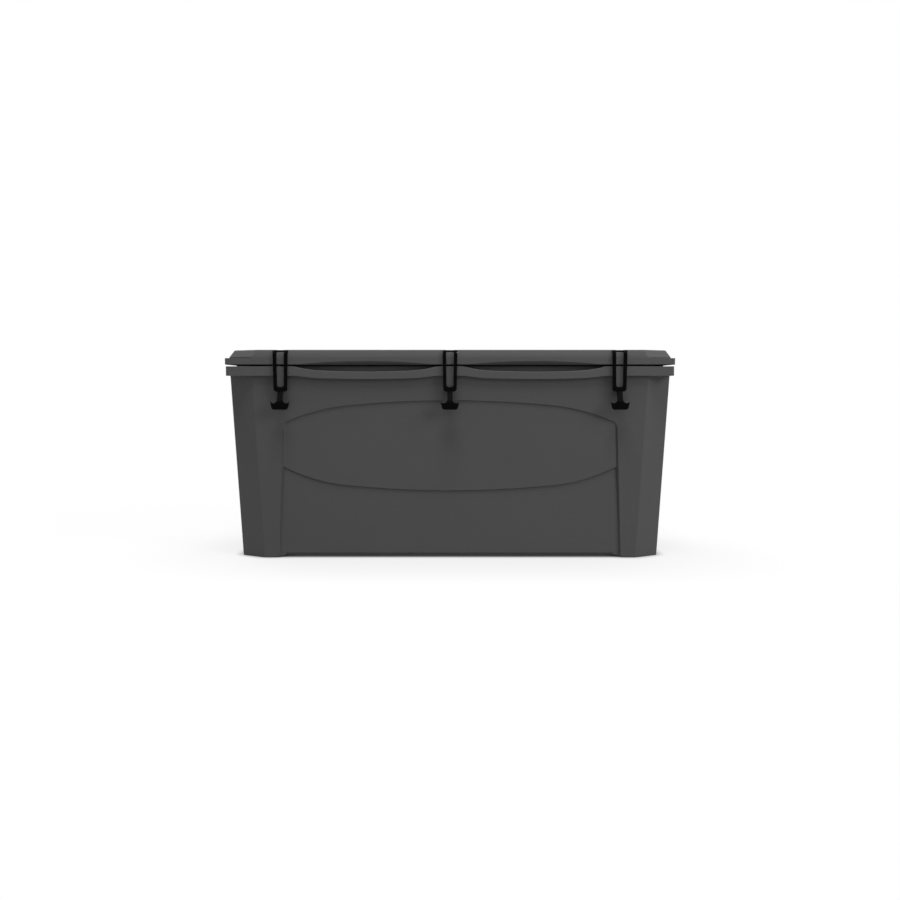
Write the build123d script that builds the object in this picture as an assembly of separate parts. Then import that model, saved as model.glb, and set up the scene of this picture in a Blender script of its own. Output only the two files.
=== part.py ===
"""Rotomoulded cooler chest: foam-filled tub and lid, three rubber draw latches, rear rod hinges and a drain.

Millimetres, +Z up, the front faces -Y, the floor is z = 0 and the chest is centred on X.
"""
from build123d import *
import math
import os

# Overall form, with the heights stacked downwards from the top of the lid
LID_LENGTH = 1060
LID_DEPTH = 500
HEIGHT = 497
CROWN_RISE = 16.5
CROWN_STEP = 3.2
FLANGE_HEIGHT = 15.3
LID_GAP = 3.8
RIM_HEIGHT = 22.2
UNDERSIDE = 6
FOOT_BOTTOM = 1
BAND_CORNER = 6
BAND_BEVEL = 1.2
SKIN = 6
BETWEEN_BODIES = 0.3
OVERCUT = 1

# Tub walls
RIM_INSET = 1.7
END_OVERHANG = 1
FRONT_OVERHANG = 10
DRAFT = 3
FACET_LENGTH = 58
FACET_DEPTH = 40
FACET_SOFTNESS = 7
PANEL_STEP = 3
FOAM_RECESS = 8
PANEL_CORNER = 16
POST_TOP_WIDTH = 82
POST_FOOT_WIDTH = 38
OVAL_DROP = 166
OVAL_END_INSET = 100
OVAL_HALF_HEIGHT = 108
OVAL_POWER = 2.45
ARC_JOINT = 0.62
FOOT_SPAN = 113
FOOT_SLOPE = 26
FOOT_ROOT = 12
UNDERSIDE_ROUNDING = 7

# Ice compartment
END_WALL = 52.3
FRONT_WALL = 60.3
FLOOR_THICKNESS = 56
MOUTH_CORNER = 38
MOUTH_DRAFT = 2
FLOOR_FILLET = 24

# Finger scoops in the rim, midway between the latches
SCOOP_HALF_LENGTH = 168
SCOOP_DIP = 12.7
SCOOP_BULGE = 8.3
SCOOP_DEPTH = 22
SHOULDER = 0.8
UNDERCUT = 8.5

# Hand pockets in the ends
POCKET_HALF_WIDTH = 82
POCKET_HEIGHT = 46
POCKET_DEPTH = 25
POCKET_CORNER = 16
POCKET_FLOOR_BEVEL = 10

# Lid
CROWN_END_INSET = 2
CROWN_FACET_LENGTH = 60
CROWN_FACET_DEPTH = 46
CROWN_END_SLOPE = 12
CROWN_FRONT_SLOPE = 4
CROWN_BEVEL = 1.5
PLUG_CLEARANCE = 4
PLUG_DEPTH = 18
PLUG_BEVEL = 6
GASKET_END_INSET = 15.5
GASKET_SIDE_INSET = 28
GASKET_WIDTH = 14
GASKET_GROOVE = 2.8
GASKET_CORNER = 42
GASKET_FIT = 0.15
GASKET_BEVEL = 1.2
FOAM_BEHIND_LATCH = 26
FOAM_FACET_CUT = 20
FOAM_SLOPE = 3
LOCK_HOLE_RADIUS = 5
LOCK_HOLE_INSET = 18

# Draw latches
LATCH_END_INSET = 131.5
STRAP_THICKNESS = 7
STRAP_TOP_WIDTH = 34.5
STRAP_BOTTOM_WIDTH = 31
STRAP_BEND = 11
STRAP_STAND_OFF = 0.5
WINDOW_TOP_WIDTH = 16.8
WINDOW_BOTTOM_WIDTH = 14.8
WINDOW_CORNER = 3.5
LOOP_DROP = 37
LOOP_CORNER = 7
BARREL_RADIUS = 7
PIN_RADIUS = 3
PIN_FIT = 0.05
PIN_END = 10
PIN_SETBACK = 18
HOOK_HEIGHT = 6.7
HOOK_REACH = 7
HOOK_BLOCK = 12
HOOK_EASING = 3
LUG_ROOT = 5
SHANK_WIDTH = 12
PULL_DROP = 42.4
PULL_WIDTH = 43.6
PULL_HEIGHT = 15
PULL_HORN = 3.1
PULL_CORNER = 7
PULL_TAPER = 4
PULL_SCALLOP = 9
PULL_FLARE = 13.5
PULL_THICKNESS = 9.5
FLARE_SOFTNESS = 8
NOTCH_CLEARANCE = 0.5
TONGUE_DROP = 3.5
TONGUE_SOFTNESS = 2

# Rear hinges
HINGE_END_INSET = 230
HINGE_SETBACK = 8.5
HINGE_DROP = 1
KNUCKLE_RADIUS = 7.5
KNUCKLE_ROOT = 2
TUB_ROOT_DROP = 7
ROD_RADIUS = 3.5
ROD_FIT = 0.05
TUB_KNUCKLE_LENGTH = 90
LID_KNUCKLE_LENGTH = 50
KNUCKLE_GAP = 0.5
CAP_LENGTH = 3.5

# Drain in the right end wall
DRAIN_RISE = 18
DRAIN_POCKET_RADIUS = 32
DRAIN_POCKET_DEPTH = 22.6
DRAIN_SEAT_DEPTH = 2.7
DRAIN_SEAT_RADIUS = 23
FITTING_RADIUS = 15
FITTING_BORE = 11
FITTING_FLANGE_RADIUS = 21
FITTING_FLANGE = 3.5
FITTING_STAND = 10
DRAIN_GASKET = 2
NUT_RADIUS = 22
NUT_THICKNESS = 5
PLUG_KNOB_RADIUS = 20
PLUG_KNOB_SIDES = 12
PLUG_KNOB = 4
PLUG_KNOB_BEVEL = 1
PLUG_SHANK = 20
PLUG_GRIP_LENGTH = 34
PLUG_GRIP_WIDTH = 9
PLUG_GRIP_HEIGHT = 6.5
PLUG_RING = 1.5
THREAD_FIT = 0.1

# Foot pads
PAD_END_INSET = 52.5
PAD_SIDE_INSET = 55.5
PAD_WIDTH = 56
PAD_CORNER = 8
PAD_THICKNESS = 6
PAD_BEVEL = 1
PAD_SCREW_RADIUS = 2.5
PAD_SCREW_HEAD = 5.5
PAD_SCREW_HEAD_HEIGHT = 2
PAD_SCREW_LENGTH = 22
PAD_SCREW_RISE = 1
PAD_SCREW_CLEARANCE = 0.2

# Worked out from the values above
lean = math.tan(math.radians(DRAFT))
half_length = LID_LENGTH / 2
half_depth = LID_DEPTH / 2
crown_base = HEIGHT - CROWN_RISE
flange_top = crown_base - CROWN_STEP
lip_bottom = flange_top - FLANGE_HEIGHT
rim_top = lip_bottom - LID_GAP
rim_bottom = rim_top - RIM_HEIGHT
rim_half_length = half_length - RIM_INSET
rim_half_depth = half_depth - RIM_INSET
body_half_length = rim_half_length - END_OVERHANG
body_half_depth = rim_half_depth - FRONT_OVERHANG
foot_half_length = body_half_length - rim_bottom * lean
foot_half_depth = body_half_depth - rim_bottom * lean
oval_z = rim_bottom - OVAL_DROP
oval_half_length = body_half_length - OVAL_END_INSET
mouth_half_length = rim_half_length - END_WALL
mouth_half_depth = rim_half_depth - FRONT_WALL
floor_z = UNDERSIDE + FLOOR_THICKNESS
latch_x = half_length - LATCH_END_INSET
scoop_x = latch_x / 2
plug_bottom = lip_bottom - PLUG_DEPTH
pin_y = -half_depth + PIN_SETBACK
pin_z = HEIGHT - BETWEEN_BODIES - BARREL_RADIUS
strap_back = -half_depth - STRAP_STAND_OFF
strap_front = strap_back - STRAP_THICKNESS
loop_bottom = rim_bottom - LOOP_DROP
hook_radius = pin_z - loop_bottom - HOOK_HEIGHT
pull_bottom = loop_bottom - PULL_DROP
pull_front = strap_front - PULL_FLARE
hinge_x = half_length - HINGE_END_INSET
hinge_y = half_depth + HINGE_SETBACK
hinge_z = lip_bottom - HINGE_DROP
lid_knuckle_offset = TUB_KNUCKLE_LENGTH / 2 + KNUCKLE_GAP + LID_KNUCKLE_LENGTH / 2
hinge_half_length = lid_knuckle_offset + LID_KNUCKLE_LENGTH / 2
drain_z = floor_z + DRAIN_RISE
drain_pocket_x = body_half_length - (rim_bottom - drain_z) * lean - DRAIN_POCKET_DEPTH
drain_wall_x = mouth_half_length - (rim_top - drain_z) * math.tan(math.radians(MOUTH_DRAFT))
drain_seat_x = drain_wall_x + DRAIN_SEAT_DEPTH
fitting_end_x = drain_pocket_x + FITTING_STAND
pad_x = foot_half_length - PAD_END_INSET
pad_y = foot_half_depth - PAD_SIDE_INSET
front_view = Plane(origin=(0, 0, 0), x_dir=(1, 0, 0), z_dir=(0, -1, 0))


def block(x0, x1, y0, y1, z0, z1):
    """A box between two corners."""
    centre = Pos((x0 + x1) / 2, (y0 + y1) / 2, (z0 + z1) / 2)
    return centre * Box(x1 - x0, y1 - y0, z1 - z0)


def rod_along_x(radius, x0, x1, y, z):
    """A round bar lying along X."""
    return Pos((x0 + x1) / 2, y, z) * Rot(0, 90, 0) * Cylinder(radius, x1 - x0)


def slab(length_half, depth_half, corner, z0, z1):
    """A rectangular plate with rounded upright corners."""
    outline = RectangleRounded(2 * length_half, 2 * depth_half, corner)
    return extrude(Pos(0, 0, z0) * outline, z1 - z0)


def faceted_corners(length_half, depth_half, facet, z):
    """The eight corners, at height z, of a rectangle cut off at its corners by facet (along X, along Y)."""
    points = []
    for side_x, side_y in ((1, 1), (-1, 1), (-1, -1), (1, -1)):
        at_end = (side_x * length_half, side_y * (depth_half - facet[1]), z)
        at_side = (side_x * (length_half - facet[0]), side_y * depth_half, z)
        points += [at_end, at_side] if side_x == side_y else [at_side, at_end]
    return points


def faceted_frustum(length_half, depth_half, facet, slopes, z0, z1, softness=0):
    """A faceted block, smaller at z1 than at z0 by slopes (along X, along Y), with softened upright bends."""
    start = faceted_corners(length_half, depth_half, facet, z0)
    end = faceted_corners(length_half - slopes[0], depth_half - slopes[1], facet, z1)
    walls = zip(start, start[1:] + start[:1], end[1:] + end[:1], end)
    sheets = [Face(Wire.make_polygon(corners)) for corners in (start, end, *walls)]
    frustum = Solid(Shell(sheets))
    return fillet(frustum.edges().group_by(Axis.Z)[1], softness) if softness else frustum


def drafted_wall(z0, z1):
    """The tub's drafted, faceted outer wall between two heights."""
    drop = (rim_bottom - z1) * lean
    shrink = (z1 - z0) * lean
    facet = (FACET_LENGTH, FACET_DEPTH)
    length, depth = body_half_length - drop, body_half_depth - drop
    return faceted_frustum(length, depth, facet, (shrink, shrink), z1, z0, FACET_SOFTNESS)


def post_edge(z):
    """How far from the middle the corner post's inner edge stands at a height z."""
    at_rim = body_half_length - FACET_LENGTH - POST_TOP_WIDTH
    at_floor = foot_half_length - FACET_LENGTH - POST_FOOT_WIDTH
    return at_floor + (at_rim - at_floor) * z / rim_bottom


def oval_height(x):
    """Half the height of the front oval at a distance x from its centre."""
    return OVAL_HALF_HEIGHT * (1 - (x / oval_half_length) ** OVAL_POWER) ** (1 / OVAL_POWER)


def oval_corner(side):
    """Where the oval's upper (side 1) or lower (side -1) arc meets the post's edge."""
    z = oval_z
    for _ in range(6):
        z = oval_z + side * oval_height(post_edge(z))
    return post_edge(z), z


def three_arcs(end, joint, crown):
    """A symmetrical curve of three tangent arcs: a flat one over the middle and one to each end."""
    middle = ThreePointArc((-joint[0], joint[1]), (0, crown), joint)
    right = TangentArc(joint, end, tangent=middle % 1)
    return mirror(right, about=Plane.YZ) + middle + right


def panel_outline(side):
    """The field between the posts, from the oval's upper (side 1) or lower (side -1) arc to below the tub."""
    corner_x, corner_z = oval_corner(side)
    joint_x = ARC_JOINT * corner_x
    joint = (joint_x, oval_z + side * oval_height(joint_x))
    arc = three_arcs((corner_x, corner_z), joint, oval_z + side * OVAL_HALF_HEIGHT)
    below = -UNDERSIDE
    foot_x = post_edge(below)
    edge = Polyline((corner_x, corner_z), (foot_x, below), (-foot_x, below), (-corner_x, corner_z))
    sheet = make_face(arc + edge)
    return fillet(sheet.vertices().sort_by(Axis.Y)[2:4], PANEL_CORNER) if side > 0 else sheet


def wall_plane(front):
    """The plane of the drafted front (-1) or rear (1) wall; its sketches are drawn upright from the floor."""
    angle = math.radians(DRAFT)
    outward = (0, front * math.cos(angle), -math.sin(angle))
    return Plane(origin=(0, front * foot_half_depth, 0), x_dir=(-front, 0, 0), z_dir=outward)


def wall_panels(front):
    """The two steps cut into a long wall: the oval field, and the lower panel one step deeper."""
    plane = wall_plane(front)
    field = extrude(plane * panel_outline(1), -PANEL_STEP)
    return field + extrude(plane * panel_outline(-1), -2 * PANEL_STEP)


def lens(length_half, depth, z):
    """A shallow upright lens hanging below z: quick shoulders and a long flat middle."""
    joint = (ARC_JOINT * length_half, z - SHOULDER * depth)
    curve = three_arcs((length_half, z), joint, z - depth)
    return make_face(curve + Line((length_half, z), (-length_half, z)))


def front_lens(depth, z, reach):
    """A lens on the rim's front face, running inwards by reach."""
    return Pos(0, -rim_half_depth, 0) * extrude(front_view * lens(SCOOP_HALF_LENGTH, depth, z), -reach)


def scoops(tool):
    """One copy of a tool at each finger scoop."""
    return Pos(-scoop_x, 0, 0) * tool + Pos(scoop_x, 0, 0) * tool


def latches(tool):
    """One copy of a tool at each of the three latches."""
    return Pos(-latch_x, 0, 0) * tool + tool + Pos(latch_x, 0, 0) * tool


def hinges(tool):
    """One copy of a tool at each of the two hinges."""
    return Pos(-hinge_x, 0, 0) * tool + Pos(hinge_x, 0, 0) * tool


def pads(tool):
    """One copy of a tool at each foot."""
    return [Pos(sx * pad_x, sy * pad_y, 0) * tool for sy in (-1, 1) for sx in (-1, 1)]


def pocket_block(skin):
    """The plain hollow under the rim at the right end, enlarged by skin for the foam."""
    inner = body_half_length - POCKET_DEPTH - skin
    width = POCKET_HALF_WIDTH + skin
    low = rim_bottom - POCKET_HEIGHT - skin
    return block(inner, half_length + OVERCUT, -width, width, low, rim_bottom + skin)


def hand_pocket():
    """The hollow that a hand lifts by, with rounded inner corners and a bevelled floor."""
    hollow = pocket_block(0)
    hollow = fillet(hollow.edges().filter_by(Axis.Z).group_by(Axis.X)[0], POCKET_CORNER)
    floor = hollow.faces().sort_by(Axis.Z)[0].edges().filter_by(lambda e: e.center().X < half_length)
    return chamfer(floor, POCKET_FLOOR_BEVEL)


def both_ends(tool):
    """A tool at the right end and its mirror image at the left one."""
    return tool + mirror(tool, about=Plane.YZ)


def mouth():
    """The ice compartment: drafted walls, round corners and a rounded floor."""
    outline = RectangleRounded(2 * mouth_half_length, 2 * mouth_half_depth, MOUTH_CORNER)
    hollow = extrude(Pos(0, 0, rim_top) * outline, floor_z - rim_top, taper=MOUTH_DRAFT)
    return fillet(hollow.faces().sort_by(Axis.Z)[0].edges(), FLOOR_FILLET)


def drain_hole():
    """The pocket, bore and inner seat that the drain fitting passes through."""
    start = mouth_half_length / 2
    pocket = rod_along_x(DRAIN_POCKET_RADIUS, drain_pocket_x, half_length, 0, drain_z)
    bore = rod_along_x(FITTING_RADIUS + ROD_FIT, start, half_length, 0, drain_z)
    seat = rod_along_x(DRAIN_SEAT_RADIUS, start, drain_seat_x, 0, drain_z)
    return pocket + bore + seat


def tub_foam(gap):
    """The foam between the tub's skins, left out round the drain and screws; gap holds it clear of them."""
    skin = SKIN + gap
    top = rim_top - skin
    inset = FOAM_RECESS + skin + (rim_bottom - top) * lean
    facet = (FACET_LENGTH, FACET_DEPTH)
    length, depth = body_half_length - inset, body_half_depth - inset
    drop = (top - UNDERSIDE - skin) * lean
    foam = faceted_frustum(length, depth, facet, (drop, drop), top, UNDERSIDE + skin)
    inside = Rectangle(2 * (mouth_half_length + skin), 2 * (mouth_half_depth + skin))
    foam -= extrude(Pos(0, 0, rim_top) * inside, floor_z - skin - rim_top, taper=MOUTH_DRAFT)
    foam -= both_ends(pocket_block(skin))
    boss = DRAIN_POCKET_RADIUS + skin
    foam -= block(mouth_half_length / 2, half_length, -boss, boss, drain_z - boss, drain_z + boss)
    screw = PAD_SCREW_RADIUS + skin
    for screw_boss in pads(block(-screw, screw, -screw, screw, 0, PAD_SCREW_LENGTH + skin)):
        foam -= screw_boss
    return foam


def foot_gap(edge):
    """The space between two feet seen from one side: level under the tub and sloping down to each foot."""
    low, high = FOOT_BOTTOM, UNDERSIDE
    right = edge - FOOT_SPAN
    foot = right + FOOT_SLOPE
    return Polygon(
        (-right, high), (-foot, low), (-foot, low - OVERCUT),
        (foot, low - OVERCUT), (foot, low), (right, high), align=None,
    )


def corner_feet():
    """The four moulded feet: the corners of the drafted wall carried below the underside."""
    foot = drafted_wall(FOOT_BOTTOM, UNDERSIDE + FOOT_ROOT)
    across = extrude(Plane.XZ * foot_gap(foot_half_length), half_depth, both=True)
    along = extrude(Plane.YZ * foot_gap(foot_half_depth), half_length, both=True)
    return foot - across - along


def rounding(edge):
    """What a rounded lower edge takes off a drafted wall that meets the underside at edge from the middle."""
    radius = UNDERSIDE_ROUNDING
    angle = math.radians(DRAFT)
    centre_x = edge + radius * lean - radius / math.cos(angle)
    height = radius * (1 - math.sin(angle)) + OVERCUT
    width = radius + OVERCUT
    corner = Pos(centre_x + width / 2, UNDERSIDE - OVERCUT + height / 2) * Rectangle(width, height)
    return corner - Pos(centre_x, UNDERSIDE + radius) * Circle(radius)


def underside_roundings():
    """The rounded lower edges of the four walls between the feet."""
    rise = UNDERSIDE * lean
    side = rounding(foot_half_depth + rise - 2 * PANEL_STEP)
    end = rounding(foot_half_length + rise)
    along_side = extrude(Plane.YZ * side, foot_half_length - FOOT_SPAN, both=True)
    along_end = extrude(front_view * end, foot_half_depth - FOOT_SPAN, both=True)
    return along_side + mirror(along_side, about=Plane.XZ) + both_ends(along_end)


def lower_side_edges(piece):
    """The edges from front to back at a piece's lower left and right."""
    lowest = piece.bounding_box().min.Z
    runs = piece.edges().filter_by(lambda e: e.bounding_box().size.Y > e.bounding_box().size.X)
    low = runs.filter_by(lambda e: e.center().Z < lowest + WINDOW_CORNER)
    return low.filter_by(lambda e: abs(e.center().X) > WINDOW_CORNER)


def keeper_lug():
    """The lug that a strap's loop hooks under, flush with the rim; its underside follows the swing."""
    half_width = WINDOW_BOTTOM_WIDTH / 2 - NOTCH_CLEARANCE
    back = -body_half_depth + LUG_ROOT
    upright = block(-half_width, half_width, -rim_half_depth, back, loop_bottom, rim_bottom + OVERCUT)
    lug = upright & rod_along_x(hook_radius - BETWEEN_BODIES, -half_length, half_length, pin_y, pin_z)
    return chamfer(lower_side_edges(lug), WINDOW_CORNER)


def knuckle(width, low, high, face_y):
    """One hinge knuckle along X, with the web that ties it to a rear face at face_y between two heights."""
    barrel = Pos(hinge_y, hinge_z) * Circle(KNUCKLE_RADIUS)
    root = Pos(face_y - KNUCKLE_ROOT / 2, (low + high) / 2) * Rectangle(KNUCKLE_ROOT, high - low)
    profile = make_hull(barrel.edges() + root.edges())
    return extrude(Plane.YZ * profile, width / 2, both=True)


def rod_bore():
    """The running bore of one hinge, long enough for all its knuckles."""
    reach = hinge_half_length + OVERCUT
    return rod_along_x(ROD_RADIUS + ROD_FIT, -reach, reach, hinge_y, hinge_z)


def lock_holes(z0, z1):
    """The upright padlock holes through the two front corners."""
    x = half_length - LOCK_HOLE_INSET
    y = -half_depth + LOCK_HOLE_INSET
    return both_ends(Pos(x, y, (z0 + z1) / 2) * Cylinder(LOCK_HOLE_RADIUS, z1 - z0))


def pad_plate(clearance):
    """A foot pad's square with cut corners, standing on z = 0 and enlarged by a clearance."""
    width = PAD_WIDTH + 2 * clearance
    return extrude(chamfer(Rectangle(width, width).vertices(), PAD_CORNER), PAD_THICKNESS)


def tub_shell():
    """The rotomoulded tub: outer and inner skins joined at the rim, hollow where the foam is."""
    body = drafted_wall(UNDERSIDE, rim_bottom) + corner_feet()
    body -= wall_panels(-1)
    body -= wall_panels(1)
    body -= underside_roundings()
    band = slab(rim_half_length, rim_half_depth, BAND_CORNER, rim_bottom, rim_top)
    bulge = front_lens(SCOOP_BULGE, rim_bottom, FRONT_OVERHANG + OVERCUT)
    body += band
    body += scoops(bulge)
    body += latches(keeper_lug())
    body -= scoops(front_lens(SCOOP_DIP, rim_top, SCOOP_DEPTH))
    body -= mouth()
    body -= both_ends(hand_pocket())
    body -= drain_hole()
    root_low = rim_bottom + OVERCUT
    body += hinges(knuckle(TUB_KNUCKLE_LENGTH, root_low, rim_top - TUB_ROOT_DROP, rim_half_depth))
    body -= hinges(rod_bore())
    body -= lock_holes(rim_bottom - OVERCUT, rim_top + OVERCUT)
    seat = pad_plate(BETWEEN_BODIES)
    pilot = Cylinder(PAD_SCREW_RADIUS + ROD_FIT, 2 * (PAD_SCREW_LENGTH + PAD_SCREW_RISE))
    for recess in pads(seat + pilot):
        body -= recess
    return body - tub_foam(0)


def lid_block():
    """The lid's outside: flange with square corners, faceted crown and the plug that drops into the tub."""
    flange = slab(half_length, half_depth, BAND_CORNER, lip_bottom, flange_top)
    flange = chamfer(flange.faces().sort_by(Axis.Z)[0].edges(), BAND_BEVEL)
    crown_length = half_length - CROWN_END_INSET
    facet = (CROWN_FACET_LENGTH, CROWN_FACET_DEPTH)
    slopes = (CROWN_END_SLOPE, CROWN_FRONT_SLOPE)
    step = faceted_frustum(crown_length, half_depth, facet, (0, 0), flange_top, crown_base, FACET_SOFTNESS)
    crown = faceted_frustum(crown_length, half_depth, facet, slopes, crown_base, HEIGHT, FACET_SOFTNESS)
    crown = chamfer(crown.faces().sort_by(Axis.Z)[-1].edges(), CROWN_BEVEL)
    plug = slab(
        mouth_half_length - PLUG_CLEARANCE, mouth_half_depth - PLUG_CLEARANCE,
        MOUTH_CORNER - PLUG_CLEARANCE, plug_bottom, lip_bottom,
    )
    plug = chamfer(plug.faces().sort_by(Axis.Z)[0].edges(), PLUG_BEVEL)
    return flange + step + crown + plug


def latch_notch():
    """The notch in the lid's front edge for a strap's barrel, with the tongue that fills its window."""
    half_width = STRAP_TOP_WIDTH / 2 + NOTCH_CLEARANCE
    tongue_half = WINDOW_TOP_WIDTH / 2 - NOTCH_CLEARANCE
    reach = BARREL_RADIUS + NOTCH_CLEARANCE
    ramp_low = pin_z - reach
    ramp_start = pin_y + reach * (math.sqrt(2) - 1)
    over = HEIGHT + OVERCUT
    pocket = block(-half_width, half_width, pin_y - reach, ramp_start, ramp_low, over)
    ramp_end = ramp_start + over - ramp_low
    ramp = Polygon((pin_y, ramp_low), (ramp_start, ramp_low), (ramp_end, over), (pin_y, over), align=None)
    slope = extrude(Plane.YZ * ramp, half_width, both=True)
    floor = pin_z - NOTCH_CLEARANCE
    front = -half_depth - OVERCUT
    grooves = block(-half_width, half_width, front, pin_y, floor, over)
    tongue = block(-tongue_half, tongue_half, front, pin_y - reach, floor, HEIGHT - TONGUE_DROP)
    tongue = fillet(tongue.edges().filter_by(Axis.X).group_by(Axis.Z)[-1], TONGUE_SOFTNESS)
    ears = rod_along_x(PIN_RADIUS + PIN_FIT, -half_width - PIN_END, half_width + PIN_END, pin_y, pin_z)
    return pocket + slope + (grooves - tongue) + ears


def gasket_ring(outset, z0, z1):
    """A band that follows the rim under the lid."""
    length = half_length - GASKET_END_INSET + outset
    depth = half_depth - GASKET_SIDE_INSET + outset
    width = GASKET_WIDTH + 2 * outset
    outer = slab(length, depth, GASKET_CORNER, z0, z1)
    inner = slab(length - width, depth - width, GASKET_CORNER - width, z0 - OVERCUT, z1 + OVERCUT)
    return outer - inner


def lid_foam(gap):
    """The foam inside the lid's crown and plug; gap holds it clear of the skin."""
    length = half_length - CROWN_END_INSET - CROWN_END_SLOPE - SKIN - gap
    depth = -pin_y - FOAM_BEHIND_LATCH - gap
    facet = (CROWN_FACET_LENGTH - FOAM_FACET_CUT, CROWN_FACET_DEPTH - FOAM_FACET_CUT)
    low = lip_bottom + SKIN + gap
    upper = faceted_frustum(length, depth, facet, (FOAM_SLOPE, FOAM_SLOPE), low, HEIGHT - SKIN - gap)
    inset = PLUG_CLEARANCE + SKIN + gap
    lower = slab(
        mouth_half_length - inset, mouth_half_depth - inset, MOUTH_CORNER - inset,
        plug_bottom + SKIN + gap, low + SKIN / 2,
    )
    return upper + lower


def lip_undercut():
    """The shallow cone that thins the lip's lower edge over a finger scoop."""
    radius = (SCOOP_HALF_LENGTH ** 2 + UNDERCUT ** 2) / (2 * UNDERCUT)
    cone = Cone(radius, radius - 2 * UNDERCUT, 2 * UNDERCUT)
    return Pos(0, -half_depth - radius + UNDERCUT, lip_bottom + UNDERCUT) * cone


def lid_shell():
    """The rotomoulded lid, hollow where the foam is."""
    lid = lid_block()
    lid -= gasket_ring(GASKET_FIT, lip_bottom - OVERCUT, lip_bottom + GASKET_GROOVE)
    lid -= latches(latch_notch())
    for x in (-scoop_x, scoop_x):
        lid -= Pos(x, 0, 0) * lip_undercut()
    lid_knuckle = knuckle(LID_KNUCKLE_LENGTH, lip_bottom + OVERCUT, crown_base - OVERCUT, half_depth)
    lid += hinges(both_ends(Pos(lid_knuckle_offset, 0, 0) * lid_knuckle))
    lid -= hinges(rod_bore())
    lid -= lock_holes(lip_bottom - OVERCUT, HEIGHT + OVERCUT)
    return lid - lid_foam(0)


def lid_gasket():
    """The soft seal pressed into the lid's groove, with bevelled lower edges."""
    ring = gasket_ring(0, rim_top + BETWEEN_BODIES, lip_bottom + GASKET_GROOVE - GASKET_FIT)
    return chamfer(ring.faces().sort_by(Axis.Z)[0].edges(), GASKET_BEVEL)


def strap_side_profile():
    """The strap seen from its end: run over the lid's edge, long drop, flare and thicker pull."""
    top = pin_z + BARREL_RADIUS
    bend_y = strap_front + STRAP_BEND
    bend_z = top - STRAP_BEND
    flare_low = pull_bottom + PULL_HEIGHT + PULL_SCALLOP / 2
    pull_back = pull_front + PULL_THICKNESS
    outside = (
        Line((pin_y, top), (bend_y, top))
        + CenterArc((bend_y, bend_z), STRAP_BEND, 90, 90)
        + Polyline(
            (strap_front, bend_z), (strap_front, loop_bottom), (pull_front, flare_low),
            (pull_front, pull_bottom), (pull_back, pull_bottom),
            (pull_back, flare_low), (strap_back, loop_bottom), (strap_back, bend_z),
        )
        + CenterArc((bend_y, bend_z), STRAP_BEND - STRAP_THICKNESS, 90, 90)
        + Polyline((bend_y, top - STRAP_THICKNESS), (pin_y, top - STRAP_THICKNESS), (pin_y, top))
    )
    sheet = make_face(outside)
    bends = sheet.vertices().filter_by(lambda v: flare_low - 0.1 < v.Y < loop_bottom + 0.1)
    return fillet(bends, FLARE_SOFTNESS)


def pull_outline():
    """The anchor-shaped pull seen from the front, with the scallops that make its horns."""
    half = PULL_WIDTH / 2
    top = pull_bottom + PULL_HEIGHT + PULL_HORN
    foot = half - PULL_TAPER
    body = Polygon((-half, top), (-foot, pull_bottom), (foot, pull_bottom), (half, top), align=None)
    body = fillet(body.vertices().sort_by(Axis.Y)[:2], PULL_CORNER)
    shank = Pos(0, (pull_bottom + PULL_CORNER + loop_bottom + OVERCUT) / 2) * Rectangle(
        SHANK_WIDTH, loop_bottom + OVERCUT - pull_bottom - PULL_CORNER,
    )
    web_top = pull_bottom + PULL_HEIGHT + PULL_SCALLOP
    centre = SHANK_WIDTH / 2 + PULL_SCALLOP
    web = Pos(0, (top + web_top) / 2) * Rectangle(2 * centre, web_top - top)
    pull = body + shank + web
    for side in (-1, 1):
        pull -= Pos(side * centre, web_top) * Circle(PULL_SCALLOP)
    return pull


def strap_front_outline():
    """The strap seen from the front without its window: tapered loop, shank and pull."""
    half_top = STRAP_TOP_WIDTH / 2
    half_low = STRAP_BOTTOM_WIDTH / 2
    top, low = HEIGHT, loop_bottom
    loop = Polygon((-half_top, top), (-half_low, low), (half_low, low), (half_top, top), align=None)
    return fillet(loop.vertices().sort_by(Axis.Y)[:2], LOOP_CORNER) + pull_outline()


def window_outline():
    """The strap's window, open past the top of its drop and rounded by the hook at its foot."""
    half_top = WINDOW_TOP_WIDTH / 2
    half_low = WINDOW_BOTTOM_WIDTH / 2
    top, low = HEIGHT + OVERCUT, loop_bottom
    return Polygon((-half_top, top), (-half_low, low), (half_low, low), (half_top, top), align=None)


def latch_strap():
    """One rubber draw latch at X = 0, hooked under its keeper lug."""
    outline = extrude(front_view * strap_front_outline(), half_depth + STRAP_BEND + PULL_FLARE + STRAP_BEND)
    strap = extrude(Plane.YZ * strap_side_profile(), PULL_WIDTH, both=True) & outline
    swing = rod_along_x(hook_radius, -half_length, half_length, pin_y, pin_z)
    front, back = strap_front + OVERCUT, strap_back + HOOK_REACH
    hook = block(-PULL_WIDTH, PULL_WIDTH, front, back, loop_bottom, loop_bottom + HOOK_BLOCK)
    hook = fillet(hook.edges().filter_by(Axis.X).group_by(Axis.Z)[0].sort_by(Axis.Y)[-1:], HOOK_EASING)
    hook_sides = extrude(front_view * strap_front_outline(), half_depth + STRAP_BEND)
    strap += (hook & hook_sides) - swing
    window = extrude(front_view * window_outline(), half_depth + STRAP_BEND + PULL_FLARE) & swing
    strap -= chamfer(lower_side_edges(window), WINDOW_CORNER)
    strap += rod_along_x(BARREL_RADIUS, -STRAP_TOP_WIDTH / 2, STRAP_TOP_WIDTH / 2, pin_y, pin_z)
    return strap - rod_along_x(PIN_RADIUS + PIN_FIT, -half_length, half_length, pin_y, pin_z)


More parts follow.
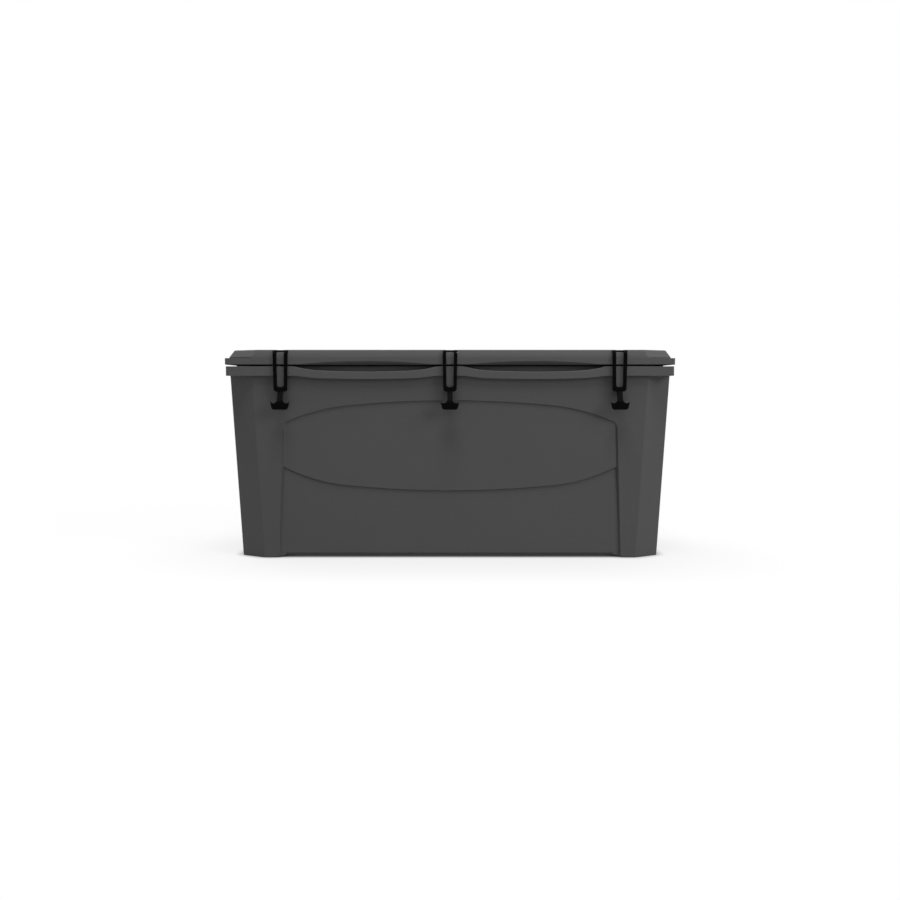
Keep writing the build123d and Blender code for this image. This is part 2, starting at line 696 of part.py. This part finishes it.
def latch_pin():
    """The plain pin a strap swings on."""
    reach = STRAP_TOP_WIDTH / 2 + PIN_END
    return rod_along_x(PIN_RADIUS, -reach, reach, pin_y, pin_z)


def hinge_rod():
    """The rod through one hinge's three knuckles."""
    reach = hinge_half_length - CAP_LENGTH - BETWEEN_BODIES
    return rod_along_x(ROD_RADIUS, -reach, reach, hinge_y, hinge_z)


def rod_caps():
    """The four caps pushed into the bore over the rod ends."""
    start = hinge_half_length - CAP_LENGTH
    cap = rod_along_x(ROD_RADIUS, start, hinge_half_length, hinge_y, hinge_z)
    caps = [Pos(x, 0, 0) * end for x in (-hinge_x, hinge_x) for end in (cap, mirror(cap, about=Plane.YZ))]
    return Compound(children=caps)


def drain_tube(outer, inner, x0, x1):
    """A round tube along the drain's axis."""
    wall = rod_along_x(outer, x0, x1, 0, drain_z)
    return wall - rod_along_x(inner, x0 - OVERCUT, x1 + OVERCUT, 0, drain_z)


def drain_fitting():
    """The flanged tube through the wall, clamped from outside by its nut."""
    flange_x = drain_seat_x - DRAIN_GASKET
    flange = rod_along_x(FITTING_FLANGE_RADIUS, flange_x - FITTING_FLANGE, flange_x, 0, drain_z)
    tube = rod_along_x(FITTING_RADIUS, flange_x - OVERCUT, fitting_end_x, 0, drain_z)
    bore = rod_along_x(FITTING_BORE, flange_x - FITTING_FLANGE - OVERCUT, half_length, 0, drain_z)
    return flange + tube - bore


def drain_fitting_gasket():
    """The flat washer between the fitting's flange and the wall."""
    start = drain_seat_x - DRAIN_GASKET
    return drain_tube(FITTING_FLANGE_RADIUS, FITTING_RADIUS + ROD_FIT, start, drain_seat_x)


def drain_nut():
    """The hexagonal nut that pulls the fitting against the wall."""
    hexagon = Plane.YZ * RegularPolygon(NUT_RADIUS, 6)
    body = Pos(drain_pocket_x, 0, drain_z) * extrude(hexagon, NUT_THICKNESS)
    return body - rod_along_x(FITTING_RADIUS + ROD_FIT, drain_pocket_x - OVERCUT, half_length, 0, drain_z)


def drain_plug():
    """The screw plug: threaded shank, many-sided knob and an upright finger grip."""
    face = fitting_end_x + PLUG_RING
    shank = rod_along_x(FITTING_BORE - THREAD_FIT, face - PLUG_SHANK, face + OVERCUT, 0, drain_z)
    knob = extrude(Plane.YZ * RegularPolygon(PLUG_KNOB_RADIUS, PLUG_KNOB_SIDES), PLUG_KNOB)
    knob = chamfer(knob.faces().sort_by(Axis.X)[-1].edges(), PLUG_KNOB_BEVEL)
    half_width, half_grip = PLUG_GRIP_WIDTH / 2, PLUG_GRIP_LENGTH / 2
    reach = PLUG_KNOB + PLUG_GRIP_HEIGHT
    grip = block(0, reach, -half_width, half_width, -half_grip, half_grip)
    grip = chamfer(grip.edges().filter_by(Axis.Y), PLUG_KNOB_BEVEL)
    return shank + Pos(face, 0, drain_z) * (knob + grip)


def drain_plug_gasket():
    """The sealing ring under the plug's knob."""
    return drain_tube(FITTING_RADIUS, FITTING_BORE, fitting_end_x, fitting_end_x + PLUG_RING)


def foot_pad():
    """One rubber foot pad at the origin, its screw head sunk into its lower face."""
    pad = chamfer(pad_plate(0).faces().sort_by(Axis.Z)[0].edges(), PAD_BEVEL)
    hole = Cylinder(PAD_SCREW_RADIUS + ROD_FIT, 4 * PAD_THICKNESS)
    sink_depth = PAD_SCREW_RISE + PAD_SCREW_HEAD_HEIGHT
    sink = extrude(RegularPolygon(PAD_SCREW_HEAD + PAD_SCREW_CLEARANCE, 6), sink_depth)
    return pad - hole - sink


def foot_pad_screw():
    """One hexagon-headed screw at the origin, its head inside the pad."""
    head = extrude(RegularPolygon(PAD_SCREW_HEAD, 6), PAD_SCREW_HEAD_HEIGHT)
    length = PAD_SCREW_LENGTH - PAD_SCREW_RISE
    shank = Pos(0, 0, length / 2) * Cylinder(PAD_SCREW_RADIUS, length)
    return Pos(0, 0, PAD_SCREW_RISE) * (head + shank)


def save(name, shape):
    """Writes one node."""
    export_step(shape, f"parts/{name}.step")


def main():
    """Builds and writes every node."""
    os.makedirs("parts", exist_ok=True)
    save("tub_shell", tub_shell())
    save("tub_foam", tub_foam(BETWEEN_BODIES))
    save("lid_shell", lid_shell())
    save("lid_foam", lid_foam(BETWEEN_BODIES))
    save("lid_gasket", lid_gasket())
    for name, x in (("left", -latch_x), ("centre", 0), ("right", latch_x)):
        save(f"latch_strap_{name}", Pos(x, 0, 0) * latch_strap())
        save(f"latch_pin_{name}", Pos(x, 0, 0) * latch_pin())
    save("hinge_rod_left", Pos(-hinge_x, 0, 0) * hinge_rod())
    save("hinge_rod_right", Pos(hinge_x, 0, 0) * hinge_rod())
    save("hinge_rod_caps", rod_caps())
    save("drain_fitting", drain_fitting())
    save("drain_fitting_gasket", drain_fitting_gasket())
    save("drain_nut", drain_nut())
    save("drain_plug", drain_plug())
    save("drain_plug_gasket", drain_plug_gasket())
    feet = ("front_left", "front_right", "rear_left", "rear_right")
    for name, pad in zip(feet, pads(foot_pad())):
        save(f"foot_pad_{name}", pad)
    save("foot_pad_screws", Compound(children=pads(foot_pad_screw())))


main()
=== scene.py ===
"""A rotomoulded cooler chest dressed for the studio: moulded polyethylene, rubber, foam and steel."""
import math

import bmesh
import bpy
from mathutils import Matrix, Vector


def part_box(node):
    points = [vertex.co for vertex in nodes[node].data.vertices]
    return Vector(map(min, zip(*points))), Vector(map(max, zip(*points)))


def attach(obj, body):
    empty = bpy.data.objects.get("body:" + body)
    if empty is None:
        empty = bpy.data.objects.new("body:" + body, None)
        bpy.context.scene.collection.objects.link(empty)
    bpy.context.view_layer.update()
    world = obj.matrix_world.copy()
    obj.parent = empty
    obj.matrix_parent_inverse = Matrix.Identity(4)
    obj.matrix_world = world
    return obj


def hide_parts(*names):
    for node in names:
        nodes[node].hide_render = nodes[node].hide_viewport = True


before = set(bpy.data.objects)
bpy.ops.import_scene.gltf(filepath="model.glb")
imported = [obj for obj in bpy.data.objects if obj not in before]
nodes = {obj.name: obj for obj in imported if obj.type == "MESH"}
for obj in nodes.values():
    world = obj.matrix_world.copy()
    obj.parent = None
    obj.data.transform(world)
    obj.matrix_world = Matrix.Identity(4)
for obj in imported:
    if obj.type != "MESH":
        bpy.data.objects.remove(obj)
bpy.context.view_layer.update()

MM = 0.001
scene = bpy.context.scene

SHELL_GREY = "#3F3F3F"
LATCH_BLACK = "#050505"
SEAL_BLACK = "#141415"
PAD_BLACK = "#161616"
FITTING_BLACK = "#0F0F10"
STEEL = "#C6C4BF"
FOAM_CREAM = "#E6DBB6"
STUDIO_WHITE = "#FFFFFF"

# How a CAD mesh is cleaned, and which of its edges are rounded and smoothed.
WELD = 0.005 * MM
FLAT = math.radians(0.8)
SHARP = math.radians(28)
SHORT_EDGE = 1.5 * MM
SMOOTH_WITHIN = math.cos(math.radians(40))
UNDERSIDE = 20 * MM

# The roundings that the moulds leave.
TUB_ROUNDING = 1.2 * MM
LID_ROUNDING = 0.5 * MM
STRAP_ROUNDING = 1.0 * MM
LID_SEAL_ROUNDING = 1.5 * MM
DRAIN_SEAL_ROUNDING = 0.4 * MM
PAD_ROUNDING = 0.8 * MM

# The low steps along the corner posts; the first two are shares of half the tub's length.
POST_FROM = 0.64
POST_TO = 0.81
POST_TOP = 400 * MM
STEP_LEAN = 4.5 * MM
SIDEWAYS = 0.3
FRONTWAYS = 0.9

# The feet of the two hinge lugs on the rim's back.
RIM_BACK = 248.3 * MM
RIM_MIDDLE = 446.5 * MM
HINGE_FOOT_DEPTH = 0.3 * MM
HINGE_PLACE = 300 * MM
HINGE_REACH = 50 * MM
HINGE_DRAW = 0.2

# The straps' windows, and the lugs and tongues that show through them, measured from the pins.
WINDOW_REACH = 8.6 * MM
WINDOW_EASE = 0.12
LOOP_DEPTH = 86 * MM
LUG_FRONT = 4 * MM
LUG_EASE = 0.24
BARREL_FRONT = 7 * MM
TONGUE_FOOT = 0.8 * MM
TONGUE_DROP = 2 * MM

# The studio: the room's light, the floor's tones, its real and painted shade, the lamps and the camera, in
# metres and degrees.
ROOM_LEVEL = 0.16
FLOOR_REACH = 12.0
FLOOR_GREY = 0.3
FLOOR_SHADE = 0.1
FLOOR_GLOW = 0.87
# The SHADE_ and GAP_ settings shape the painted shadow: the floor's glow darkened by ambient occlusion near
# the chest.
SHADE_REACH = 0.35
SHADE_LEAN = math.radians(53)
SHADE_DEPTH = 0.78
GAP_REACH = 0.025
GAP_SHADE = 0.0
FADE_START = 0.9
FADE_END = 1.8
LAMP_DISTANCE = 12.0
LAMP_SIZE = 5.0
CHEST_MIDDLE = (0.0, 0.0, 0.25)
CAMERA_ANGLE = 45.0
CAMERA_TIP = 3.4
CAMERA_PLACE = (0.0, -2.810, 0.4132)


def linear(colour):
    """A #RRGGBB colour as linear red, green, blue and alpha."""
    parts = [int(colour[i:i + 2], 16) / 255 for i in (1, 3, 5)]
    bent = [c / 12.92 if c <= 0.04045 else ((c + 0.055) / 1.055) ** 2.4 for c in parts]
    return (*bent, 1.0)


def add_node(tree, kind, settings=None, links=None):
    """Adds one node; settings are attributes or socket values, links map inputs to their sources."""
    node = tree.nodes.new(kind)
    for name, value in (settings or {}).items():
        if isinstance(name, str) and hasattr(node, name):
            setattr(node, name, value)
        else:
            node.inputs[name].default_value = value
    for name, source in (links or {}).items():
        tree.links.new(source, node.inputs[name])
    return node


def new_material(name):
    """An empty node material and its object coordinates."""
    material = bpy.data.materials.new(name)
    material.use_nodes = True
    tree = material.node_tree
    tree.nodes.clear()
    place = add_node(tree, "ShaderNodeTexCoord").outputs["Object"]
    return material, tree, place


def per_metre(size_mm):
    """The texture scale at which one feature is about size_mm across."""
    return 1 / (size_mm * MM)


def range_of(low, high):
    """Map Range settings that spread a noise's usual 0.3 to 0.7 over low to high."""
    return {"From Min": 0.3, "From Max": 0.7, "To Min": low, "To Max": high}


def end_with(tree, shader):
    """Connects the finished shader to the material's surface."""
    add_node(tree, "ShaderNodeOutputMaterial", links={"Surface": shader.outputs["BSDF"]})


def rotomoulded_polyethylene():
    """Polyethylene powder fused against a cast mould: even grey, slow orange peel, fine grain, satin."""
    material, tree, place = new_material("rotomoulded_polyethylene")
    at = {"Vector": place}
    cloud = add_node(tree, "ShaderNodeTexNoise", {"Scale": per_metre(140), "Detail": 3.0}, at)
    powder = add_node(tree, "ShaderNodeTexNoise", {"Scale": per_metre(2.6), "Detail": 2.0}, at)
    peel = add_node(tree, "ShaderNodeTexNoise", {"Scale": per_metre(9), "Detail": 1.0}, at)
    grain = add_node(tree, "ShaderNodeTexNoise", {"Scale": per_metre(1.4), "Detail": 4.0}, at)
    of_cloud = {"Value": cloud.outputs["Fac"]}
    tone = add_node(tree, "ShaderNodeMapRange", range_of(0.96, 1.04), of_cloud)
    speck = add_node(tree, "ShaderNodeMapRange", range_of(0.95, 1.05), {"Value": powder.outputs["Fac"]})
    sheen = add_node(tree, "ShaderNodeMapRange", range_of(0.5, 0.6), of_cloud)
    both = add_node(tree, "ShaderNodeMath", {"operation": "MULTIPLY"},
                    {0: tone.outputs["Result"], 1: speck.outputs["Result"]})
    colour = add_node(tree, "ShaderNodeVectorMath", {"operation": "SCALE", 0: linear(SHELL_GREY)[:3]},
                      {"Scale": both.outputs["Value"]})
    slow = add_node(tree, "ShaderNodeBump", {"Strength": 0.2, "Distance": 0.3 * MM},
                    {"Height": peel.outputs["Fac"]})
    fine = add_node(tree, "ShaderNodeBump", {"Strength": 0.5, "Distance": 0.1 * MM},
                    {"Height": grain.outputs["Fac"], "Normal": slow.outputs["Normal"]})
    shader = add_node(tree, "ShaderNodeBsdfPrincipled", {"IOR": 1.51, "Specular IOR Level": 0.35},
                      {"Base Color": colour.outputs["Vector"], "Roughness": sheen.outputs["Result"],
                       "Normal": fine.outputs["Normal"]})
    end_with(tree, shader)
    return material


def moulded_rubber(name, colour, roughness, specular, grain_mm):
    """Compression-moulded rubber: near black, dulled by bloom in slow patches, with a matt mould skin."""
    material, tree, place = new_material(name)
    at = {"Vector": place}
    bloom = add_node(tree, "ShaderNodeTexNoise", {"Scale": per_metre(18), "Detail": 3.0}, at)
    skin = add_node(tree, "ShaderNodeTexNoise", {"Scale": per_metre(grain_mm), "Detail": 3.0}, at)
    of_bloom = {"Value": bloom.outputs["Fac"]}
    tone = add_node(tree, "ShaderNodeMapRange", range_of(0.85, 1.25), of_bloom)
    dull = add_node(tree, "ShaderNodeMapRange", range_of(roughness - 0.06, roughness + 0.06), of_bloom)
    shade = add_node(tree, "ShaderNodeVectorMath", {"operation": "SCALE", 0: linear(colour)[:3]},
                     {"Scale": tone.outputs["Result"]})
    bump = add_node(tree, "ShaderNodeBump", {"Strength": 0.35, "Distance": 0.1 * MM},
                    {"Height": skin.outputs["Fac"]})
    shader = add_node(tree, "ShaderNodeBsdfPrincipled", {"IOR": 1.52, "Specular IOR Level": specular},
                      {"Base Color": shade.outputs["Vector"], "Roughness": dull.outputs["Result"],
                       "Normal": bump.outputs["Normal"]})
    end_with(tree, shader)
    return material


def spark_eroded_nylon():
    """Injection-moulded nylon from a spark-eroded tool: black with small even pits and a faint shine."""
    material, tree, place = new_material("spark_eroded_nylon")
    at = {"Vector": place}
    pits = add_node(tree, "ShaderNodeTexVoronoi", {"Scale": per_metre(0.9)}, at)
    mottle = add_node(tree, "ShaderNodeTexNoise", {"Scale": per_metre(7), "Detail": 2.0}, at)
    depth = {"Value": pits.outputs["Distance"]}
    tone = add_node(tree, "ShaderNodeMapRange", range_of(0.9, 1.15), {"Value": mottle.outputs["Fac"]})
    shine = add_node(tree, "ShaderNodeMapRange", {"To Min": 0.42, "To Max": 0.58}, depth)
    shade = add_node(tree, "ShaderNodeVectorMath", {"operation": "SCALE", 0: linear(FITTING_BLACK)[:3]},
                     {"Scale": tone.outputs["Result"]})
    bump = add_node(tree, "ShaderNodeBump", {"Strength": 0.4, "Distance": 0.08 * MM},
                    {"Height": pits.outputs["Distance"]})
    shader = add_node(tree, "ShaderNodeBsdfPrincipled", {"IOR": 1.53},
                      {"Base Color": shade.outputs["Vector"], "Roughness": shine.outputs["Result"],
                       "Normal": bump.outputs["Normal"]})
    end_with(tree, shader)
    return material


def stainless(name, stretch, roughness):
    """Stainless steel drawn or turned: bright, with hairlines that run along the stretch."""
    material, tree, place = new_material(name)
    along = add_node(tree, "ShaderNodeMapping", {"Scale": stretch}, {"Vector": place})
    lines = add_node(tree, "ShaderNodeTexNoise", {"Scale": per_metre(0.5), "Detail": 2.0},
                     {"Vector": along.outputs["Vector"]})
    of_lines = {"Value": lines.outputs["Fac"]}
    polish = add_node(tree, "ShaderNodeMapRange", range_of(roughness - 0.06, roughness + 0.08), of_lines)
    tone = add_node(tree, "ShaderNodeMapRange", range_of(0.9, 1.05), of_lines)
    shade = add_node(tree, "ShaderNodeVectorMath", {"operation": "SCALE", 0: linear(STEEL)[:3]},
                     {"Scale": tone.outputs["Result"]})
    bump = add_node(tree, "ShaderNodeBump", {"Strength": 0.2, "Distance": 0.02 * MM},
                    {"Height": lines.outputs["Fac"]})
    shader = add_node(tree, "ShaderNodeBsdfPrincipled", {"Metallic": 1.0},
                      {"Base Color": shade.outputs["Vector"], "Roughness": polish.outputs["Result"],
                       "Normal": bump.outputs["Normal"]})
    end_with(tree, shader)
    return material


def poured_foam():
    """Poured polyurethane: cream, with closed cells of about a millimetre."""
    material, tree, place = new_material("poured_foam")
    cells = add_node(tree, "ShaderNodeTexVoronoi", {"Scale": per_metre(1.2)}, {"Vector": place})
    tone = add_node(tree, "ShaderNodeMapRange", {"From Max": 0.8, "To Min": 0.85, "To Max": 1.0},
                    {"Value": cells.outputs["Distance"]})
    shade = add_node(tree, "ShaderNodeVectorMath", {"operation": "SCALE", 0: linear(FOAM_CREAM)[:3]},
                     {"Scale": tone.outputs["Result"]})
    bump = add_node(tree, "ShaderNodeBump", {"Strength": 0.6, "Distance": 0.3 * MM},
                    {"Height": cells.outputs["Distance"]})
    shader = add_node(tree, "ShaderNodeBsdfPrincipled", {"Roughness": 0.9},
                      {"Base Color": shade.outputs["Vector"], "Normal": bump.outputs["Normal"]})
    end_with(tree, shader)
    return material


def dress(material, *names):
    """Gives CAD nodes their finish."""
    for name in names:
        slots = nodes[name].data.materials
        slots.clear()
        slots.append(material)


def welded_copy(node):
    """A CAD node's mesh with its triangles joined and its flat faces whole again."""
    mesh = nodes[node].data.copy()
    work = bmesh.new()
    work.from_mesh(mesh)
    bmesh.ops.remove_doubles(work, verts=work.verts, dist=WELD)
    bmesh.ops.dissolve_limit(work, angle_limit=FLAT, verts=work.verts, edges=work.edges)
    for face in work.faces:
        face.smooth = True
    work.to_mesh(mesh)
    work.free()
    return mesh


def lean_post_steps(mesh):
    """Leans back the low steps along the corner posts, as the mould's draft leaves them."""
    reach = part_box("tub_shell")[1][0]
    work = bmesh.new()
    work.from_mesh(mesh)
    leaning = {}
    for edge in work.edges:
        if len(edge.link_faces) != 2 or not edge.is_convex or edge.calc_face_angle() < SHARP:
            continue
        wall, front = sorted(edge.link_faces, key=lambda face: abs(face.normal.y))
        by_post = all(POST_FROM < abs(corner.co.x) / reach < POST_TO for corner in edge.verts)
        low = all(corner.co.z < POST_TOP for corner in edge.verts)
        if by_post and low and abs(wall.normal.y) < SIDEWAYS and abs(front.normal.y) > FRONTWAYS:
            for corner in edge.verts:
                leaning.setdefault(corner, []).append(wall.normal)
    for corner, walls in leaning.items():
        facing = sum(walls, Vector()).normalized()
        corner.co -= STEP_LEAN * facing.x ** 2 * facing
    work.to_mesh(mesh)
    work.free()


def draw_in_hinge_feet(mesh):
    """Keeps the feet of the hinge lugs clear of the rim's edges, so that both can be rounded."""
    for corner in mesh.vertices:
        on_rim = abs(corner.co.y - RIM_BACK) < HINGE_FOOT_DEPTH
        if on_rim and abs(abs(corner.co.x) - HINGE_PLACE) < HINGE_REACH:
            corner.co.z += HINGE_DRAW * (RIM_MIDDLE - corner.co.z)


def near_pins(mesh):
    """Each vertex that lies in line with a strap's window, with its place as seen from that strap's pin."""
    for side in ("left", "centre", "right"):
        low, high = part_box(f"latch_pin_{side}")
        pin = (Vector(low) + Vector(high)) / 2
        for corner in mesh.vertices:
            away = corner.co - pin
            if abs(away.x) < WINDOW_REACH:
                yield corner, away


def widen_windows(mesh):
    """Gives a strap's window slim legs."""
    for corner, away in near_pins(mesh):
        if away.z > -LOOP_DEPTH:
            corner.co.x += WINDOW_EASE * away.x


def fit_tub(mesh):
    """Leans the steps by the posts, draws in the hinge feet and fills each wider window with its lug."""
    lean_post_steps(mesh)
    draw_in_hinge_feet(mesh)
    for corner, away in near_pins(mesh):
        if away.y < -LUG_FRONT and away.z > -LOOP_DEPTH:
            corner.co.x += LUG_EASE * away.x


def fit_lid(mesh):
    """Fills each wider window with its tongue, and drops the tongue's top to show the strap's barrel."""
    for corner, away in near_pins(mesh):
        if away.y < -BARREL_FRONT:
            corner.co.x += WINDOW_EASE * away.x
            if away.z > TONGUE_FOOT:
                corner.co.z -= TONGUE_DROP


def crisp_on_tub(mesh):
    """The tub's corners that stay crisp: those near the floor and those of the keeper lugs."""
    low = {corner.index for corner in mesh.vertices if corner.co.z < UNDERSIDE}
    return low | {corner.index for corner, away in near_pins(mesh) if away.y < -LUG_FRONT}


def mark_sharp_edges(mesh, crisp):
    """Picks the long sharp edges for rounding, apart from those that meet a crisp corner."""
    work = bmesh.new()
    work.from_mesh(mesh)
    weight = work.edges.layers.float.new("bevel_weight_edge")
    for edge in work.edges:
        sharp = len(edge.link_faces) == 2 and edge.calc_face_angle() > SHARP
        soft = all(corner.index not in crisp for corner in edge.verts)
        edge[weight] = 1.0 if sharp and soft and edge.calc_length() > SHORT_EDGE else 0.0
    work.to_mesh(mesh)
    work.free()


def keep_flats_flat(mesh):
    """Makes the shading run smoothly over roundings and leave each large flat face truly flat."""
    around = [[] for _ in mesh.vertices]
    for face in mesh.polygons:
        for corner in face.vertices:
            around[corner].append(face)
    normals = []
    for face in mesh.polygons:
        for corner in face.vertices:
            near = [other for other in around[corner] if other.normal.dot(face.normal) > SMOOTH_WITHIN]
            blend = sum((other.area * other.normal for other in near), Vector())
            normals.append(blend.normalized())
    mesh.normals_split_custom_set(normals)


def with_modifiers_applied(piece):
    """Turns a piece's modifiers into plain mesh."""
    shaped = piece.evaluated_get(bpy.context.evaluated_depsgraph_get())
    mesh = bpy.data.meshes.new_from_object(shaped)
    piece.modifiers.clear()
    piece.data = mesh


def soft_edged(node, body, name, material, radius, shaped=None, crisp=None):
    """A moulded piece that stands for a CAD node, its edges rounded as the mould leaves them."""
    mesh = welded_copy(node)
    if shaped:
        shaped(mesh)
    mark_sharp_edges(mesh, crisp(mesh) if crisp else set())
    piece = bpy.data.objects.new(name, mesh)
    scene.collection.objects.link(piece)
    piece.data.materials.clear()
    piece.data.materials.append(material)
    edge = piece.modifiers.new("moulded_edge", "BEVEL")
    edge.width = radius
    edge.segments = 3
    edge.limit_method = "WEIGHT"
    edge.use_clamp_overlap = False
    with_modifiers_applied(piece)
    keep_flats_flat(piece.data)
    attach(piece, body)
    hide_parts(node)


def dress_chest():
    """Gives every CAD node, or the rounded piece that stands for it, its real material."""
    shell = rotomoulded_polyethylene()
    latch_rubber = moulded_rubber("latch_rubber", LATCH_BLACK, 0.6, 0.02, 0.8)
    seal_rubber = moulded_rubber("seal_rubber", SEAL_BLACK, 0.75, 0.3, 0.6)
    pad_rubber = moulded_rubber("pad_rubber", PAD_BLACK, 0.8, 0.3, 1.6)
    nylon = spark_eroded_nylon()
    drawn = stainless("drawn_stainless", (0.03, 1.0, 1.0), 0.28)
    turned = stainless("turned_stainless", (1.0, 1.0, 0.05), 0.32)
    soft_edged("tub_shell", "tub", "moulded_tub", shell, TUB_ROUNDING, fit_tub, crisp_on_tub)
    soft_edged("lid_shell", "lid", "moulded_lid", shell, LID_ROUNDING, fit_lid)
    for side in ("left", "centre", "right"):
        strap = f"strap_{side}"
        soft_edged(f"latch_{strap}", strap, f"rubber_{strap}", latch_rubber, STRAP_ROUNDING, widen_windows)
    dress(poured_foam(), "tub_foam", "lid_foam")
    soft_edged("lid_gasket", "lid", "lid_seal", seal_rubber, LID_SEAL_ROUNDING)
    soft_edged("drain_fitting_gasket", "tub", "drain_fitting_seal", seal_rubber, DRAIN_SEAL_ROUNDING)
    soft_edged("drain_plug_gasket", "plug_ring", "drain_plug_seal", seal_rubber, DRAIN_SEAL_ROUNDING)
    for corner in ("front_left", "front_right", "rear_left", "rear_right"):
        soft_edged(f"foot_pad_{corner}", "tub", f"rubber_pad_{corner}", pad_rubber, PAD_ROUNDING)
    dress(nylon, "drain_fitting", "drain_nut", "drain_plug", "hinge_rod_caps")
    dress(drawn, "latch_pin_left", "latch_pin_centre", "latch_pin_right", "hinge_rod_left", "hinge_rod_right")
    dress(turned, "foot_pad_screws")


def as_seen(tree):
    """1 for what the camera sees itself or in a reflection or through glass, 0 for the light that falls."""
    ray = add_node(tree, "ShaderNodeLightPath")
    direct = add_node(tree, "ShaderNodeMath", {"operation": "MAXIMUM"},
                      {0: ray.outputs["Is Camera Ray"], 1: ray.outputs["Is Transmission Ray"]})
    seen = add_node(tree, "ShaderNodeMath", {"operation": "MAXIMUM"},
                    {0: direct.outputs["Value"], 1: ray.outputs["Is Glossy Ray"]})
    return seen.outputs["Value"]


def painted_contact_shade(tree, reach, lean, shaded, open_level):
    """Painted shadow: the open level, falling by ambient occlusion to the shaded one under the chest; lean
    turns the painted shade towards its front.
    """
    up = add_node(tree, "ShaderNodeCombineXYZ", {"X": 0.0, "Y": math.sin(lean), "Z": math.cos(lean)})
    near = add_node(tree, "ShaderNodeAmbientOcclusion", {"samples": 16, "Distance": reach},
                    {"Normal": up.outputs["Vector"]})
    level = add_node(tree, "ShaderNodeMapRange", {"To Min": shaded, "To Max": open_level},
                     {"Value": near.outputs["AO"]})
    return level.outputs["Result"]


def studio_floor():
    """A seamless floor that looks white, takes the chest's soft shadow in its diffuse part, has a contact
    shadow painted into its glow, and has no edge.
    """
    mesh = bpy.data.meshes.new("studio_floor")
    r = FLOOR_REACH
    mesh.from_pydata([(-r, -r, 0), (r, -r, 0), (r, r, 0), (-r, r, 0)], [], [(0, 1, 2, 3)])
    floor = bpy.data.objects.new("studio_floor", mesh)
    scene.collection.objects.link(floor)
    material, tree, place = new_material("studio_paper")
    grey = add_node(tree, "ShaderNodeBsdfDiffuse", {"Color": (FLOOR_GREY, FLOOR_GREY, FLOOR_GREY, 1.0)})
    shadow = add_node(tree, "ShaderNodeBsdfDiffuse", {"Color": (FLOOR_SHADE, FLOOR_SHADE, FLOOR_SHADE, 1.0)})
    # Painted shadow: the floor's glow dims round the chest and goes dark in the gap under it.
    around = painted_contact_shade(tree, SHADE_REACH, SHADE_LEAN, FLOOR_GLOW * SHADE_DEPTH, FLOOR_GLOW)
    under = painted_contact_shade(tree, GAP_REACH, 0.0, GAP_SHADE, 1.0)
    level = add_node(tree, "ShaderNodeMath", {"operation": "MULTIPLY"}, {0: around, 1: under})
    glow = add_node(tree, "ShaderNodeEmission", {"Color": linear(STUDIO_WHITE)},
                    {"Strength": level.outputs["Value"]})
    close = add_node(tree, "ShaderNodeAddShader",
                     links={0: shadow.outputs["BSDF"], 1: glow.outputs["Emission"]})
    far = add_node(tree, "ShaderNodeEmission", {"Color": linear(STUDIO_WHITE), "Strength": 1.0})
    away = add_node(tree, "ShaderNodeVectorMath", {"operation": "LENGTH"}, {0: place})
    fade = add_node(tree, "ShaderNodeMapRange", {
        "interpolation_type": "SMOOTHSTEP", "From Min": FADE_START, "From Max": FADE_END,
    }, {"Value": away.outputs["Value"]})
    white = add_node(tree, "ShaderNodeMixShader", links={
        "Fac": fade.outputs["Result"], 1: close.outputs["Shader"], 2: far.outputs["Emission"]})
    mixed = add_node(tree, "ShaderNodeMixShader", links={
        "Fac": as_seen(tree), 1: grey.outputs["BSDF"], 2: white.outputs["Shader"]})
    add_node(tree, "ShaderNodeOutputMaterial", links={"Surface": mixed.outputs["Shader"]})
    mesh.materials.append(material)


def studio_world():
    """An even room that looks plain white behind the chest and in its reflections."""
    world = bpy.data.worlds.new("studio_room")
    scene.world = world
    world.use_nodes = True
    tree = world.node_tree
    tree.nodes.clear()
    level = add_node(tree, "ShaderNodeMapRange", {"To Min": ROOM_LEVEL, "To Max": 1.0},
                     {"Value": as_seen(tree)})
    room = add_node(tree, "ShaderNodeBackground", {"Color": linear(STUDIO_WHITE)},
                    {"Strength": level.outputs["Result"]})
    add_node(tree, "ShaderNodeOutputWorld", links={"Surface": room.outputs["Background"]})


def soft_box(name, turn, rise, power):
    """A square studio lamp, turned from the front towards +X and raised by degrees, aimed at the chest."""
    lamp = bpy.data.lights.new(name, "AREA")
    lamp.size = LAMP_SIZE
    lamp.energy = power
    turn, rise = math.radians(turn), math.radians(rise)
    away = Vector((math.cos(rise) * math.sin(turn), -math.cos(rise) * math.cos(turn), math.sin(rise)))
    holder = bpy.data.objects.new(name, lamp)
    holder.location = Vector(CHEST_MIDDLE) + LAMP_DISTANCE * away
    holder.rotation_euler = away.to_track_quat("Z", "Y").to_euler()
    scene.collection.objects.link(holder)


def camera_in_front():
    """The studio camera, square to the front and tipped slightly down."""
    lens = bpy.data.cameras.new("studio_camera")
    lens.sensor_width = 36
    lens.angle = math.radians(CAMERA_ANGLE)
    camera = bpy.data.objects.new("studio_camera", lens)
    camera.location = CAMERA_PLACE
    camera.rotation_euler = (math.radians(90 - CAMERA_TIP), 0, 0)
    scene.collection.objects.link(camera)
    scene.camera = camera


dress_chest()
studio_floor()
studio_world()
soft_box("key_lamp", 0, 70, 1500)
soft_box("fill_lamp", 50, 25, 660)
soft_box("back_lamp", 215, 20, 500)
camera_in_front()
scene.view_settings.view_transform = "Standard"
